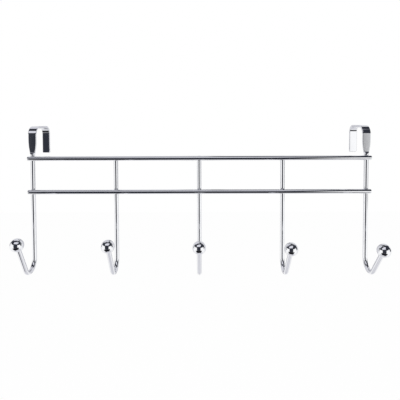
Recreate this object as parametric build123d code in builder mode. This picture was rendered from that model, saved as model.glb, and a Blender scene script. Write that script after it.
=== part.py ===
from build123d import *

import os
from math import cos, pi, radians, sin, sqrt

# Over door hook rack: five wire hooks with ball tips, welded behind two rails and hung from two flat straps.
# X runs along the rack, +Y goes from the room through the door, and +Z is up. The origin is at the middle of the
# door's top front edge: the backs of the hook wires touch the door's face at Y = 0, and the straps lie on the
# door's top edge at Z = 0. Sizes are in millimetres, angles in degrees.

# Wire and welds
wire_diameter = 5.0
weld_set_down = 0.6  # how far two crossed wires sink into each other where they are welded
wire_end_chamfer = 0.3

# Rails
hook_count = 5
hook_pitch = 95.0
rail_overhang = 3.8  # rail past the axis of the outermost hook wire
rail_drop = 34.0  # top rail's axis below the door's top edge
rail_spacing = 38.0
stub_past_rail = 2.0  # a middle hook's wire ends this far above the top rail's axis

# Hooks
hook_drop = 91.0  # lowest point of a hook below the bottom rail's axis
hook_bend_radius = 12.8  # to the wire's centre line
tip_length = 31.8  # straight wire between the bend and the ball
tip_lean = 34.0  # lean of the middle tip away from the door, from the vertical
tip_lean_step = 2.3  # as bent, each tip leans out this much more than the one to its left
ball_diameter = 14.0

# Straps
door_gap = 36.5  # from the door's front face to the strap's rear leg
strap_thickness = 2.2
strap_edge_radius = 0.6
strap_corner_radius = 1.2  # at the free end of the rear leg
strap_bend_radius = 8.0  # inside
strap_rear_drop = 31.0  # end of the rear leg below the door's top edge
taper_foot = 4.5  # where the wire starts to flatten, above the top rail's axis
taper_length = 16.0  # from the foot to the strap's full width
shoulder_length = 2.0  # straight ramp from the foot to the strap's thickness
taper_steps = 3  # steps between sections from the shoulder up

# Values worked out from the driving dimensions
wire_radius = wire_diameter / 2
ball_radius = ball_diameter / 2
wire_axis_y = -wire_radius
rail_axis_y = wire_axis_y - (wire_diameter - weld_set_down)
top_rail_z = -rail_drop
bottom_rail_z = top_rail_z - rail_spacing
rail_length = (hook_count - 1) * hook_pitch + 2 * rail_overhang
hook_places = [(index - (hook_count - 1) / 2) * hook_pitch for index in range(hook_count)]
bend_start_z = bottom_rail_z - hook_drop + wire_radius + hook_bend_radius
ball_flat = sqrt(ball_radius**2 - wire_radius**2)  # from the ball's centre to the flat that meets the wire
taper_foot_z = top_rail_z + taper_foot
strap_foot_z = taper_foot_z + taper_length
strap_area = pi * wire_radius**2  # the pressed strap keeps the wire's area
strap_width = (strap_area + (4 - pi) * strap_edge_radius**2) / strap_thickness


def tip_lean_of(hook):
    return tip_lean + (hook - (hook_count - 1) / 2) * tip_lean_step


def tip_direction(hook):
    lean = radians(tip_lean_of(hook))
    return Vector(0, -sin(lean), cos(lean))


def make_rail(axis_z):
    """A straight rail, with a shallow saddle in its back where each hook wire is welded to it."""
    with BuildPart() as rail:
        with BuildSketch(Plane.YZ):
            with Locations((rail_axis_y, axis_z)):
                Circle(wire_radius)
        extrude(amount=rail_length / 2, both=True)
        chamfer(rail.faces().filter_by(Axis.X).edges(), wire_end_chamfer)
        with BuildSketch(Plane.XY.offset(axis_z)):
            with Locations([(place, wire_axis_y) for place in hook_places]):
                Circle(wire_radius)
        extrude(amount=wire_radius, both=True, mode=Mode.SUBTRACT)
    return rail


def make_hook(hook, wire_top_z):
    """A hook wire from its top down, round the bend and out to the flat on its ball."""
    with BuildPart() as wire:
        with BuildLine(Plane.YZ.offset(hook_places[hook])) as path:
            shank = Line((wire_axis_y, wire_top_z), (wire_axis_y, bend_start_z))
            bend = JernArc(shank @ 1, shank % 1, hook_bend_radius, tip_lean_of(hook) - 180)
            Line(bend @ 1, bend @ 1 + tip_length * (bend % 1))
        with BuildSketch(Plane(path.line @ 0, z_dir=path.line % 0)):
            Circle(wire_radius)
        sweep()
    return wire


def make_middle_hook(hook):
    wire = make_hook(hook, top_rail_z + stub_past_rail)
    with BuildPart() as middle_hook:
        add(wire.part)
        top_end = middle_hook.faces().sort_by(Axis.Z)[-1]
        chamfer(top_end.edges(), wire_end_chamfer)
    return middle_hook


def round_section(place):
    """The round wire as eight arcs, which line up with the flats, edges and corners of a pressed section."""
    flat_arc = 60
    edge_arc = 25
    corner_arc = (180 - flat_arc - edge_arc) / 2
    with BuildSketch(Plane.XY.offset(taper_foot_z)) as section:
        with BuildLine():
            start = -edge_arc / 2
            for arc in 2 * [edge_arc, corner_arc, flat_arc, corner_arc]:
                CenterArc((place, wire_axis_y), wire_radius, start, arc)
                start += arc
        make_face()
    return section.sketch


def pressed_section(place, above_foot):
    """The wire above the shoulder, where a die has thinned it and it widens towards the strap."""
    left_to_widen = 1 - above_foot / taper_length
    width = strap_width - left_to_widen**2 * (strap_width - wire_diameter)
    with BuildSketch(Plane.XY.offset(taper_foot_z + above_foot)) as section:
        with Locations((place, wire_axis_y)):
            RectangleRounded(width, strap_thickness, strap_edge_radius)
    return section.sketch


def make_strap_hook(hook):
    """An outer hook, whose wire goes on above the top rail as a flat strap bent over the door."""
    place = hook_places[hook]
    wire = make_hook(hook, taper_foot_z)
    spread_step = (taper_length - shoulder_length) / taper_steps
    spread = [pressed_section(place, shoulder_length + spread_step * step) for step in range(taper_steps + 1)]
    strap_z = strap_thickness / 2
    rear_leg_y = door_gap + strap_thickness / 2
    with BuildPart() as strap_hook:
        with BuildLine(Plane.YZ.offset(place)) as path:
            FilletPolyline(
                (wire_axis_y, strap_foot_z),
                (wire_axis_y, strap_z),
                (rear_leg_y, strap_z),
                (rear_leg_y, -strap_rear_drop),
                radius=strap_bend_radius + strap_thickness / 2,
            )
        with BuildSketch(Plane(path.line @ 0, x_dir=(1, 0, 0), z_dir=path.line % 0)):
            Rectangle(strap_width, strap_thickness)
        sweep()
        free_end = strap_hook.faces().sort_by(Axis.Z)[0]
        fillet(free_end.edges().filter_by(Axis.Y), strap_corner_radius)
        sides = strap_hook.edges().group_by(Axis.X)
        across_edge = strap_thickness + strap_edge_radius  # longer than any edge that only crosses the thickness
        fillet([edge for edge in sides[0] + sides[-1] if edge.length > across_edge], strap_edge_radius)
        loft([round_section(place), spread[0]], ruled=True)
        loft(spread)
        add(wire.part)
    return strap_hook


def make_ball(hook):
    """A ball with a flat the size of the wire, seated on the end of the hook's tip."""
    lean = radians(tip_lean_of(hook))
    toward_room = hook_bend_radius * (1 + cos(lean)) + (tip_length + ball_flat) * sin(lean)
    above_bend = (tip_length + ball_flat) * cos(lean) - hook_bend_radius * sin(lean)
    centre = Vector(hook_places[hook], wire_axis_y - toward_room, bend_start_z + above_bend)
    with BuildPart(Plane(centre, z_dir=tip_direction(hook))) as ball:
        Sphere(ball_radius)
        flat = centre - ball_flat * tip_direction(hook)
        split(bisect_by=Plane(flat, z_dir=tip_direction(hook)), keep=Keep.TOP)
    return ball


pieces = {"top_rail": make_rail(top_rail_z), "bottom_rail": make_rail(bottom_rail_z)}
pieces["left_strap_hook"] = make_strap_hook(0)
pieces["right_strap_hook"] = make_strap_hook(hook_count - 1)
for hook in range(1, hook_count - 1):
    pieces[f"middle_hook_{hook}"] = make_middle_hook(hook)
for hook in range(hook_count):
    pieces[f"ball_{hook + 1}"] = make_ball(hook)

os.makedirs("parts", exist_ok=True)
for name, piece in pieces.items():
    piece.part.label = name
    export_step(piece.part, f"parts/{name}.step")
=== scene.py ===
from math import acos, atan2, cos, pi, radians, sin, sqrt

import bpy
from mathutils import Matrix, Vector


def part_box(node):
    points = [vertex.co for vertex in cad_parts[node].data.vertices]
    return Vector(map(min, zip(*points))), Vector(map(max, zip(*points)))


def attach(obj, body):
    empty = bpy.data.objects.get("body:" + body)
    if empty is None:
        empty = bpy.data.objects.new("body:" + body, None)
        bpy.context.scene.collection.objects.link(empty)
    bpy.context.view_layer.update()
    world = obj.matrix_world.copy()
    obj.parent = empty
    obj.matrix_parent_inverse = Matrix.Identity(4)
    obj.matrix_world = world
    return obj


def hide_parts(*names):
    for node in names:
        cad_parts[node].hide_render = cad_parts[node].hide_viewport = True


# A chrome-plated over door hook rack in a white studio. Metres and degrees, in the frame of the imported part:
# X along the rack, +Y from the room through the door, +Z up.

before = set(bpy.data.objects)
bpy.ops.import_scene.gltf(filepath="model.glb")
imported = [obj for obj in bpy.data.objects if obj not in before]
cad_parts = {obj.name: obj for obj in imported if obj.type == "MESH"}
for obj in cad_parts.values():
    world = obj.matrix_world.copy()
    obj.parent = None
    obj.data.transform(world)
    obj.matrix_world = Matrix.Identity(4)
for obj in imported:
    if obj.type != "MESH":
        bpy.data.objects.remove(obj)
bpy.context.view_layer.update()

# Forms that the node boxes don't give
hook_bend_radius = 0.0128  # to the wire's centre line
strap_bend_radius = 0.008  # inside
strap_rear_end = -0.031  # height of the rear leg's lower end
strap_edge_radius = 0.0006
strap_corner_radius = 0.0012  # at the rear leg's lower end
taper_foot = 0.0045  # above the top rail's axis
taper_length = 0.016  # from the foot to the strap's full width
shoulder_length = 0.002  # straight ramp from the foot to the strap's thickness
right_strap_turn = radians(-3.5)  # as bent, the right strap's front leg faces the middle a little
wire_end_round = 0.0003
weld_bead_radius = 0.00032
neck_fillet = 0.0007  # weld round the wire where it enters the ball

# Mesh density
points_around_wire = 72
points_around_strap = 160
points_around_ball = 96
points_around_bead = 16
run_spacing = 0.002
taper_spacing = 0.00025
arc_step = radians(2)
end_rings = 6
fillet_rings = 10
ball_rings = 72
bead_rings = 64

hook_nodes = ["left_strap_hook", "middle_hook_1", "middle_hook_2", "middle_hook_3", "right_strap_hook"]
rail_nodes = ["top_rail", "bottom_rail"]


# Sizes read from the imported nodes

def middle(node):
    low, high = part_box(node)
    return (low + high) / 2


stub_low, stub_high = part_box("middle_hook_2")
strap_low, strap_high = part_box("left_strap_hook")
ball_low, ball_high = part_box("ball_3")
wire_radius = (stub_high.x - stub_low.x) / 2
wire_axis_y = stub_high.y - wire_radius
wire_top = stub_high.z
top_rail_z = middle("top_rail").z
strap_thickness = strap_high.z
strap_width = strap_high.x - strap_low.x
rear_leg_y = strap_high.y - strap_thickness / 2
ball_radius = (ball_high.z - ball_low.z) / 2
ball_flat = sqrt(ball_radius**2 - wire_radius**2)  # from the ball's centre to the end of the wire


# Paths: lists of stations, each a point of the centre line with the path's direction there

def run(start, end, spacing=run_spacing):
    """Stations along a straight stretch."""
    count = max(2, round((end - start).length / spacing))
    direction = (end - start).normalized()
    return [(start.lerp(end, index / count), direction) for index in range(count + 1)]


def bend(centre, radius, first, last, turn):
    """Stations round an arc in the plane across X, from angle first to last: 0 is +Y and 90 degrees +Z."""
    count = max(2, round(abs(last - first) / arc_step))
    stations = []
    for index in range(count + 1):
        angle = first + (last - first) * index / count
        outward = Vector((0, cos(angle), sin(angle)))
        along = Vector((0, -sin(angle), cos(angle))) * turn
        stations.append((centre + radius * outward, along))
    return stations


def joined(*stretches):
    """One path from stretches that follow on, without the stations they share."""
    path = list(stretches[0])
    for stretch in stretches[1:]:
        path += stretch[1:]
    return path


def hook_path(hook):
    """From the ball's flat down the tip, round the bend and up to the bend's start on the straight wire."""
    node = hook_nodes[hook]
    low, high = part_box(node)
    place = (low.x + high.x) / 2
    ball = middle(f"ball_{hook + 1}")
    centre = Vector((place, wire_axis_y - hook_bend_radius, low.z + wire_radius + hook_bend_radius))
    reach = ball - centre
    tip_angle = atan2(reach.z, reach.y) + acos(hook_bend_radius / reach.length) - 2 * pi
    bend_stations = bend(centre, hook_bend_radius, tip_angle, 0, 1)
    tangent_point, direction = bend_stations[0]
    tip_run = sqrt(reach.length_squared - hook_bend_radius**2) - ball_flat
    tip = run(tangent_point - tip_run * direction, tangent_point)
    return joined(tip, bend_stations)


# Sections and skins

def round_section(radius, count):
    """Points evenly spaced round the wire."""
    turns = [2 * pi * index / count for index in range(count)]
    return [(radius * sin(turn), -radius * cos(turn)) for turn in turns]


def pressed_section(width, thickness, edge_radius, count):
    """Points evenly spaced round a wire pressed flat: two wide sides and two edges, with rounded corners."""
    half_flat = width / 2 - edge_radius
    half_edge = thickness / 2 - edge_radius
    corner = pi / 2 * edge_radius
    quarter = half_flat + corner + half_edge
    points = []
    for index in range(count):
        quadrant = 4 * index // count
        travelled = quarter * (4 * index / count - quadrant)
        if quadrant % 2:
            travelled = quarter - travelled
        if travelled < half_flat:
            a, b = travelled, thickness / 2
        elif travelled < half_flat + corner:
            angle = (travelled - half_flat) / edge_radius
            a, b = half_flat + edge_radius * sin(angle), half_edge + edge_radius * cos(angle)
        else:
            a, b = width / 2, quarter - travelled
        points.append((a if quadrant < 2 else -a, b if quadrant in (1, 2) else -b))
    return points


def ring(station, side, section):
    """A section set across the path: its width along side, its thickness across both side and path."""
    point, direction = station
    across = side.cross(direction)
    return [point + side * a + across * b for a, b in section]


def rounded_end(station, side, outward):
    """Rings that round off a wire's end: they shrink while the path goes on. Outward is 1 or -1."""
    point, direction = station
    rings = []
    for index in range(1, end_rings + 1):
        angle = pi / 2 * index / end_rings
        radius = wire_radius - wire_end_round * (1 - cos(angle))
        onward = (point + direction * (outward * wire_end_round * sin(angle)), direction)
        rings.append(ring(onward, side, round_section(radius, points_around_wire)))
    return rings


def new_piece(name, vertices, faces, spots, slot, material):
    """A smooth mesh that rides on the rack. Spots give each vertex its place along and around the wire."""
    mesh = bpy.data.meshes.new(name)
    mesh.from_pydata(vertices, [], faces)
    layer = mesh.uv_layers.new(name="Along")
    for loop in mesh.loops:
        layer.data[loop.index].uv = spots[loop.vertex_index]
    mesh.shade_smooth()
    mesh.set_sharp_from_angle(angle=radians(40))
    mesh.materials.append(material)
    piece = bpy.data.objects.new(name, mesh)
    bpy.context.scene.collection.objects.link(piece)
    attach(piece, "root")
    return piece


def skin(rings, closed):
    """Vertices, faces and spots of a tube through the rings: closed on itself, or capped at both ends."""
    count = len(rings[0])
    vertices = [point for points in rings for point in points]
    spots = []
    along = 0.0
    previous = None
    for points in rings:
        centre = sum(points, Vector()) / count
        along += (centre - previous).length if previous else 0.0
        previous = centre
        girth = sum((points[i] - points[i - 1]).length for i in range(count))
        spots += [(along, girth * index / count) for index in range(count)]
    faces = []
    for row in range(len(rings) if closed else len(rings) - 1):
        here = row * count
        there = (row + 1) % len(rings) * count
        for index in range(count):
            onward = (index + 1) % count
            faces.append((here + index, here + onward, there + onward, there + index))
    if not closed:
        faces.append(tuple(reversed(range(count))))
        faces.append(tuple(range(len(vertices) - count, len(vertices))))
    return vertices, faces, spots


# Materials

def node_tools(material):
    """Clears a material's nodes and returns functions that add a node and join two sockets."""
    material.use_nodes = True
    tree = material.node_tree
    tree.nodes.clear()

    def add(kind, **settings):
        node = tree.nodes.new(kind)
        for name, value in settings.items():
            setattr(node, name, value)
        return node

    return add, tree.links.new


def plated(name, colour, shadow_colour, grain, grain_scale):
    """Polished chrome plate: a faint cloud of tone, a little haze, and a fine grain in the polish."""
    material = bpy.data.materials.new(name)
    add, join = node_tools(material)
    place = add("ShaderNodeTexCoord")
    stretch = add("ShaderNodeMapping")
    stretch.inputs["Scale"].default_value = grain_scale
    lines = add("ShaderNodeTexNoise")
    lines.inputs["Scale"].default_value = 1.0
    lines.inputs["Detail"].default_value = 4.0
    cloud = add("ShaderNodeTexNoise")
    cloud.inputs["Scale"].default_value = 90.0
    cloud.inputs["Detail"].default_value = 3.0
    tone = add("ShaderNodeMix", data_type="RGBA")
    tone.inputs["A"].default_value = (*shadow_colour, 1)
    tone.inputs["B"].default_value = (*colour, 1)
    haze = add("ShaderNodeMapRange")
    haze.inputs["From Min"].default_value = 0.35
    haze.inputs["From Max"].default_value = 0.75
    haze.inputs["To Min"].default_value = 0.025
    haze.inputs["To Max"].default_value = 0.085
    bump = add("ShaderNodeBump")
    bump.inputs["Strength"].default_value = grain
    bump.inputs["Distance"].default_value = 0.00002
    shader = add("ShaderNodeBsdfPrincipled")
    shader.inputs["Metallic"].default_value = 1.0
    output = add("ShaderNodeOutputMaterial")
    join(place.outputs["UV"], stretch.inputs["Vector"])
    join(stretch.outputs["Vector"], lines.inputs["Vector"])
    join(place.outputs["Object"], cloud.inputs["Vector"])
    join(cloud.outputs["Fac"], tone.inputs["Factor"])
    join(tone.outputs["Result"], shader.inputs["Base Color"])
    join(lines.outputs["Fac"], haze.inputs["Value"])
    join(haze.outputs["Result"], shader.inputs["Roughness"])
    join(lines.outputs["Fac"], bump.inputs["Height"])
    join(bump.outputs["Normal"], shader.inputs["Normal"])
    join(shader.outputs["BSDF"], output.inputs["Surface"])
    return material


plated_wire = plated("plated_wire", (0.90, 0.905, 0.92), (0.84, 0.85, 0.875), 0.25, (60, 6000, 1))
plated_ball = plated("plated_ball", (0.91, 0.915, 0.93), (0.85, 0.86, 0.885), 0.15, (1500, 1500, 1))


# Pieces

wire_section = round_section(wire_radius, points_around_wire)


def make_rail(node):
    low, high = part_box(node)
    axis = (low + high) / 2
    axis.y = low.y + wire_radius
    side = Vector((0, 0, 1))
    start = Vector((low.x + wire_end_round, axis.y, axis.z))
    end = Vector((high.x - wire_end_round, axis.y, axis.z))
    stations = run(start, end)
    rings = [ring(station, side, wire_section) for station in stations]
    left = rounded_end(stations[0], side, -1)
    right = rounded_end(stations[-1], side, 1)
    piece = new_piece(f"{node}_wire", *skin(left[::-1] + rings + right, False), "plated_wire", plated_wire)
    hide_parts(node)


def make_middle_hook(hook):
    side = Vector((1, 0, 0))
    path = hook_path(hook)
    top = path[-1][0].copy()
    top.z = wire_top - wire_end_round
    path = joined(path, run(path[-1][0], top))
    rings = [ring(station, side, wire_section) for station in path]
    rings += rounded_end(path[-1], side, 1)
    node = hook_nodes[hook]
    piece = new_piece(f"{node}_wire", *skin(rings, False), "plated_wire", plated_wire)
    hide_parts(node)


def taper_section(above_foot):
    """The wire in the taper: a die thins it on the short shoulder, and it widens more slowly."""
    left_to_thin = max(1 - above_foot / shoulder_length, 0)
    left_to_widen = 1 - above_foot / taper_length
    width = strap_width - left_to_widen**2 * (strap_width - 2 * wire_radius)
    thickness = strap_thickness + left_to_thin * (2 * wire_radius - strap_thickness)
    edge_radius = strap_edge_radius + left_to_thin**2 * (wire_radius - strap_edge_radius)
    return pressed_section(width, thickness, edge_radius, points_around_strap)


def strap_free_end(station, side):
    """Rings over the rounded corners and edges at the end of the rear leg."""
    point, direction = station
    rings = []
    for index in range(1, end_rings + 1):
        angle = pi / 2 * index / end_rings
        to_end = strap_corner_radius * (1 - sin(angle))
        narrower = 2 * strap_corner_radius * (1 - cos(angle))
        edge_left = min(to_end, strap_edge_radius)
        edge_radius = sqrt(strap_edge_radius**2 - (strap_edge_radius - edge_left) ** 2)
        thinner = 2 * (strap_edge_radius - edge_radius)
        onward = (point + direction * (strap_corner_radius - to_end), direction)
        section = pressed_section(
            strap_width - narrower, strap_thickness - thinner, edge_radius, points_around_strap
        )
        rings.append(ring(onward, side, section))
    return rings


def turned_side(station, turn):
    """The direction of the strap's width where it is turned about its path by this angle."""
    level = Vector((1, 0, 0))
    return level * cos(turn) + station[1].cross(level) * sin(turn)


def make_strap_hook(hook):
    """The wire of an outer hook, pressed flat above the top rail and bent over the door."""
    node = hook_nodes[hook]
    leg_turn = right_strap_turn if node == "right_strap_hook" else 0.0
    side = Vector((1, 0, 0))
    path = hook_path(hook)
    place = path[-1][0].x
    foot = Vector((place, wire_axis_y, top_rail_z + taper_foot))
    strap_foot = foot + Vector((0, 0, taper_length))
    radius = strap_bend_radius + strap_thickness / 2
    front_centre = Vector((place, wire_axis_y + radius, strap_thickness / 2 - radius))
    rear_centre = Vector((place, rear_leg_y - radius, strap_thickness / 2 - radius))
    front_bend = bend(front_centre, radius, pi, pi / 2, -1)
    rear_bend = bend(rear_centre, radius, pi / 2, 0, -1)
    leg_end = Vector((place, rear_leg_y, strap_rear_end + strap_corner_radius))
    wire = joined(path, run(path[-1][0], foot))
    taper = run(foot, strap_foot, taper_spacing)[1:]
    front_leg = run(strap_foot, front_bend[0][0])[1:]
    crown = run(front_bend[-1][0], rear_bend[0][0])
    rear = joined(crown, rear_bend, run(rear_bend[-1][0], leg_end))
    rings = [ring(station, side, round_section(wire_radius, points_around_strap)) for station in wire]
    for station in taper:
        above_foot = station[0].z - foot.z
        turn = leg_turn * min(above_foot / shoulder_length, 1)
        rings.append(ring(station, turned_side(station, turn), taper_section(above_foot)))
    section = pressed_section(strap_width, strap_thickness, strap_edge_radius, points_around_strap)
    rings += [ring(station, turned_side(station, leg_turn), section) for station in front_leg]
    for index, station in enumerate(front_bend[1:-1]):
        turn = leg_turn * (1 - index / len(front_bend))
        rings.append(ring(station, turned_side(station, turn), section))
    rings += [ring(station, side, section) for station in rear[1:]]
    rings += strap_free_end(rear[-1], side)
    piece = new_piece(f"{node}_wire", *skin(rings, False), "plated_wire", plated_wire)
    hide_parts(node)


def make_ball(hook):
    """A ball turned about the tip's axis, with a small weld that runs out on the wire."""
    node = f"ball_{hook + 1}"
    centre = middle(node)
    axis = hook_path(hook)[0][1] * -1
    side = Vector((1, 0, 0))
    fillet_turn = acos((wire_radius + neck_fillet) / (ball_radius + neck_fillet))
    fillet_level = -(ball_radius + neck_fillet) * sin(fillet_turn)
    profile = []
    for index in range(fillet_rings):
        angle = pi - fillet_turn * index / fillet_rings
        radius = wire_radius + neck_fillet + neck_fillet * cos(angle)
        profile.append((radius, fillet_level + neck_fillet * sin(angle)))
    for index in range(ball_rings):
        angle = -fillet_turn + (pi / 2 + fillet_turn) * index / ball_rings
        profile.append((ball_radius * cos(angle), ball_radius * sin(angle)))
    rings = []
    for radius, level in profile:
        rings.append(ring((centre + axis * level, axis), side, round_section(radius, points_around_ball)))
    piece = new_piece(f"{node}_ball", *skin(rings, False), "plated_ball", plated_ball)
    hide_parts(node)


def make_welds(node):
    """The bead squeezed out round each crossing, where the hook wires are welded behind a rail."""
    rail = middle(node)
    rail.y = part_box(node)[0].y + wire_radius
    apart = wire_axis_y - rail.y
    widest = acos((apart - wire_radius) / wire_radius)
    vertices, faces, spots = [], [], []
    for hook in hook_nodes:
        place = middle(hook).x
        stations = []
        for index in range(bead_rings):
            turn = 2 * pi * index / bead_rings
            angle = widest * cos(turn)
            y = wire_axis_y - wire_radius * cos(angle)
            rise = sqrt(max(0, wire_radius**2 - (y - rail.y) ** 2))
            z = rail.z + (rise if sin(turn) > 0 else -rise)
            stations.append(Vector((place + wire_radius * sin(angle), y, z)))
        rings = []
        for index, point in enumerate(stations):
            direction = (stations[(index + 1) % bead_rings] - stations[index - 1]).normalized()
            side = direction.cross(Vector((0, 1, 0))).normalized()
            rings.append(ring((point, direction), side, round_section(weld_bead_radius, points_around_bead)))
        more_vertices, more_faces, more_spots = skin(rings, True)
        faces += [tuple(len(vertices) + corner for corner in face) for face in more_faces]
        vertices += more_vertices
        spots += more_spots
    new_piece(f"{node}_welds", vertices, faces, spots, "plated_wire", plated_wire)


for rail_node in rail_nodes:
    make_rail(rail_node)
    make_welds(rail_node)
for hook_index in range(len(hook_nodes)):
    if "strap" in hook_nodes[hook_index]:
        make_strap_hook(hook_index)
    else:
        make_middle_hook(hook_index)
    make_ball(hook_index)


# Studio

studio_centre = Vector((0, -0.03, -0.08))
dark = (0.032, 0.035, 0.047)
black = (0.012, 0.012, 0.016)
top_tone = (0.78, 0.78, 0.84)
ceiling_tone = (0.70, 0.70, 0.76)
side_tone = (1.08, 1.08, 1.08)
background_tone = (0.71, 0.71, 0.75)
floor_tone = (0.70, 0.70, 0.74)


def toward(azimuth, elevation):
    """Unit vector from the studio's centre. Azimuth 0 is the camera's side, -Y, and 90 is +X."""
    a, e = radians(azimuth), radians(elevation)
    return Vector((sin(a) * cos(e), -cos(a) * cos(e), sin(e)))


def stage_patch(name, points, spots, columns, colour, soft_shares):
    """A flag or softbox of the studio, given by a grid of points. It shows only in reflections."""
    faces = []
    for corner in range(len(points) - columns):
        if (corner + 1) % columns:
            faces.append((corner, corner + 1, corner + columns + 1, corner + columns))
    mesh = bpy.data.meshes.new(name)
    mesh.from_pydata(points, [], faces)
    layer = mesh.uv_layers.new(name="Patch")
    for loop in mesh.loops:
        layer.data[loop.index].uv = spots[loop.vertex_index]
    mesh.materials.append(patch_material(name, colour, soft_shares))
    obj = bpy.data.objects.new(name, mesh)
    bpy.context.scene.collection.objects.link(obj)
    obj.visible_camera = False
    obj.visible_diffuse = False
    obj.visible_shadow = False


def dome_patch(name, azimuths, elevations, distance, colour, softness):
    """A patch of a dome round the rack. Its edges fade over softness degrees, in azimuth and elevation."""
    steps = 24
    spots = [(column / steps, row / steps) for row in range(steps + 1) for column in range(steps + 1)]
    azimuth_span = azimuths[1] - azimuths[0]
    elevation_span = elevations[1] - elevations[0]
    points = []
    for across, up in spots:
        direction = toward(azimuths[0] + azimuth_span * across, elevations[0] + elevation_span * up)
        points.append(studio_centre + distance * direction)
    soft_shares = (softness[0] / azimuth_span, softness[1] / elevation_span)
    stage_patch(name, points, spots, steps + 1, colour, soft_shares)


def level_patch(name, corners, height, colour, soft_share):
    """A level patch with four corners, X and Y, in two rows. Its edges fade over a share of its width."""
    spots = [(0, 0), (1, 0), (0, 1), (1, 1)]
    points = [Vector((*corner, height)) for corner in corners]
    stage_patch(name, points, spots, 2, colour, (soft_share, soft_share))


def patch_material(name, colour, soft_shares):
    """An even glow that fades out towards the patch's edges."""
    material = bpy.data.materials.new(name)
    add, join = node_tools(material)
    place = add("ShaderNodeTexCoord")
    split = add("ShaderNodeSeparateXYZ")
    cover = add("ShaderNodeMath", operation="MULTIPLY")
    join(place.outputs["UV"], split.inputs["Vector"])
    for number, (axis, soft) in enumerate(zip("XY", soft_shares)):
        from_edge = add("ShaderNodeMath", operation="PINGPONG")
        from_edge.inputs[1].default_value = 0.5
        fade = add("ShaderNodeMapRange", interpolation_type="SMOOTHSTEP")
        fade.inputs["From Max"].default_value = soft
        join(split.outputs[axis], from_edge.inputs[0])
        join(from_edge.outputs["Value"], fade.inputs["Value"])
        join(fade.outputs["Result"], cover.inputs[number])
    clear = add("ShaderNodeBsdfTransparent")
    glow = add("ShaderNodeEmission")
    glow.inputs["Color"].default_value = (*colour, 1)
    blend = add("ShaderNodeMixShader")
    output = add("ShaderNodeOutputMaterial")
    join(cover.outputs["Value"], blend.inputs["Fac"])
    join(clear.outputs["BSDF"], blend.inputs[1])
    join(glow.outputs["Emission"], blend.inputs[2])
    join(blend.outputs["Shader"], output.inputs["Surface"])
    return material


# Flags and softboxes, as the balls, rails and straps mirror them. A nearer patch covers those behind it.

dome_patch("camera_flag", (-44, 31), (-34, 34), 1.2, dark, (12, 6))
dome_patch("front_floor_flag", (-67, 56), (-75, -27), 1.2, black, (8, 6))
dome_patch("upper_flag", (-126, 126), (12, 90), 1.6, dark, (6, 6))
dome_patch("rear_ceiling_flag", (120, 240), (47, 90), 1.6, dark, (2, 8))
softbox_corners = [(-0.50, -0.26), (0.40, -0.14), (-0.85, -0.85), (0.32, -0.98)]
level_patch("top_softbox", softbox_corners, 0.5, top_tone, 0.08)
ceiling_corners = [(-0.75, 0.05), (0.05, 0.05), (-0.75, 0.45), (0.05, 0.45)]
level_patch("ceiling_softbox", ceiling_corners, 0.52, ceiling_tone, 0.06)
left_flag_corners = [(-0.44, -0.31), (-0.24, -0.31), (-0.44, -0.18), (-0.24, -0.18)]
level_patch("left_flag", left_flag_corners, 0.49, dark, 0.1)
dome_patch("left_softbox", (-104, -40), (-34, 16), 1.5, side_tone, (6, 5))
dome_patch("right_softbox", (18, 86), (-48, 16), 1.5, side_tone, (6, 5))
dome_patch("right_gap_flag", (78, 110), (-12, 18), 1.4, dark, (4, 3))
dome_patch("left_gap_flag", (-118, -100), (-12, 18), 1.4, dark, (4, 3))
dome_patch("background_sweep", (124, 236), (-40, 48), 2.0, background_tone, (6, 10))
dome_patch("floor_sweep", (-180, 180), (-90, -53), 1.3, floor_tone, (1, 6))
dome_patch("back_flag", (174, 186), (-40, 40), 1.4, dark, (4, 8))


def shown_ray(add, join):
    """A value that is 1 on camera, glossy and transmission rays, and 0 on the others."""
    path = add("ShaderNodeLightPath")
    mirrored = add("ShaderNodeMath", operation="MAXIMUM")
    shown = add("ShaderNodeMath", operation="MAXIMUM")
    join(path.outputs["Is Camera Ray"], mirrored.inputs[0])
    join(path.outputs["Is Glossy Ray"], mirrored.inputs[1])
    join(mirrored.outputs["Value"], shown.inputs[0])
    join(path.outputs["Is Transmission Ray"], shown.inputs[1])
    return shown.outputs["Value"]


def white_world():
    world = bpy.data.worlds.new("studio")
    bpy.context.scene.world = world
    add, join = node_tools(world)
    background = add("ShaderNodeBackground")
    background.inputs["Color"].default_value = (1, 1, 1, 1)
    background.inputs["Strength"].default_value = 1.0
    output = add("ShaderNodeOutputWorld")
    join(background.outputs["Background"], output.inputs["Surface"])


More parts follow.
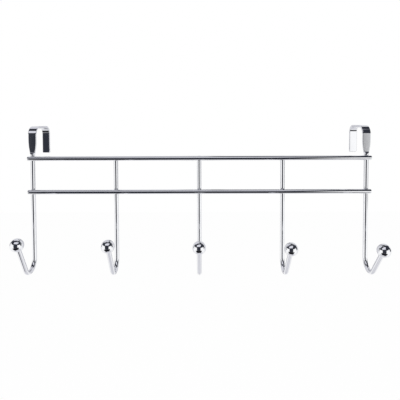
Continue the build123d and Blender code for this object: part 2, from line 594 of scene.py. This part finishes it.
def white_floor():
    """A pale floor below the rack: nearly all glow where it is seen, and the rest takes the shadow."""
    half_side = 6.0
    drop = 1.45
    glow_share = 0.85
    level = studio_centre.z - drop
    mesh = bpy.data.meshes.new("floor")
    corners = [(-half_side, -half_side, level), (half_side, -half_side, level)]
    corners += [(half_side, half_side, level), (-half_side, half_side, level)]
    mesh.from_pydata(corners, [], [(0, 1, 2, 3)])
    material = bpy.data.materials.new("floor")
    add, join = node_tools(material)
    share = add("ShaderNodeMath", operation="MULTIPLY")
    share.inputs[1].default_value = glow_share
    pale = add("ShaderNodeBsdfDiffuse")
    pale.inputs["Color"].default_value = (0.93, 0.93, 0.93, 1)
    glow = add("ShaderNodeEmission")
    blend = add("ShaderNodeMixShader")
    output = add("ShaderNodeOutputMaterial")
    join(shown_ray(add, join), share.inputs[0])
    join(share.outputs["Value"], blend.inputs["Fac"])
    join(pale.outputs["BSDF"], blend.inputs[1])
    join(glow.outputs["Emission"], blend.inputs[2])
    join(blend.outputs["Shader"], output.inputs["Surface"])
    mesh.materials.append(material)
    floor = bpy.data.objects.new("floor", mesh)
    bpy.context.scene.collection.objects.link(floor)


def soft_lamp(name, azimuth, elevation, distance, size, power):
    """A large lamp that looks at the rack. The softboxes stand for it in reflections."""
    data = bpy.data.lights.new(name, "AREA")
    data.size = size
    data.energy = power
    lamp = bpy.data.objects.new(name, data)
    direction = toward(azimuth, elevation)
    lamp.location = studio_centre + distance * direction
    lamp.rotation_euler = direction.to_track_quat("Z", "Y").to_euler()
    lamp.visible_glossy = False
    bpy.context.scene.collection.objects.link(lamp)


white_world()
white_floor()
soft_lamp("top_lamp", azimuth=-28, elevation=52, distance=1.2, size=0.9, power=3.0)
soft_lamp("right_lamp", azimuth=50, elevation=10, distance=1.2, size=0.8, power=1.5)
soft_lamp("left_lamp", azimuth=-65, elevation=10, distance=1.2, size=0.8, power=1.5)


# Camera

camera_data = bpy.data.cameras.new("camera")
camera_data.sensor_width = 36.0
camera_data.lens = 35.57
camera_data.shift_y = -0.167
camera = bpy.data.objects.new("camera", camera_data)
bpy.context.scene.collection.objects.link(camera)
camera_place = Vector((0.00298, -0.4515, 0.01107))
camera_pitch = radians(-2.17)
camera_yaw = radians(0.245)
camera_roll = radians(-0.2)
camera.matrix_world = (
    Matrix.Translation(camera_place)
    @ Matrix.Rotation(camera_yaw, 4, "Z")
    @ Matrix.Rotation(pi / 2 + camera_pitch, 4, "X")
    @ Matrix.Rotation(camera_roll, 4, "Z")
)
bpy.context.scene.camera = camera
bpy.context.scene.view_settings.view_transform = "Standard"
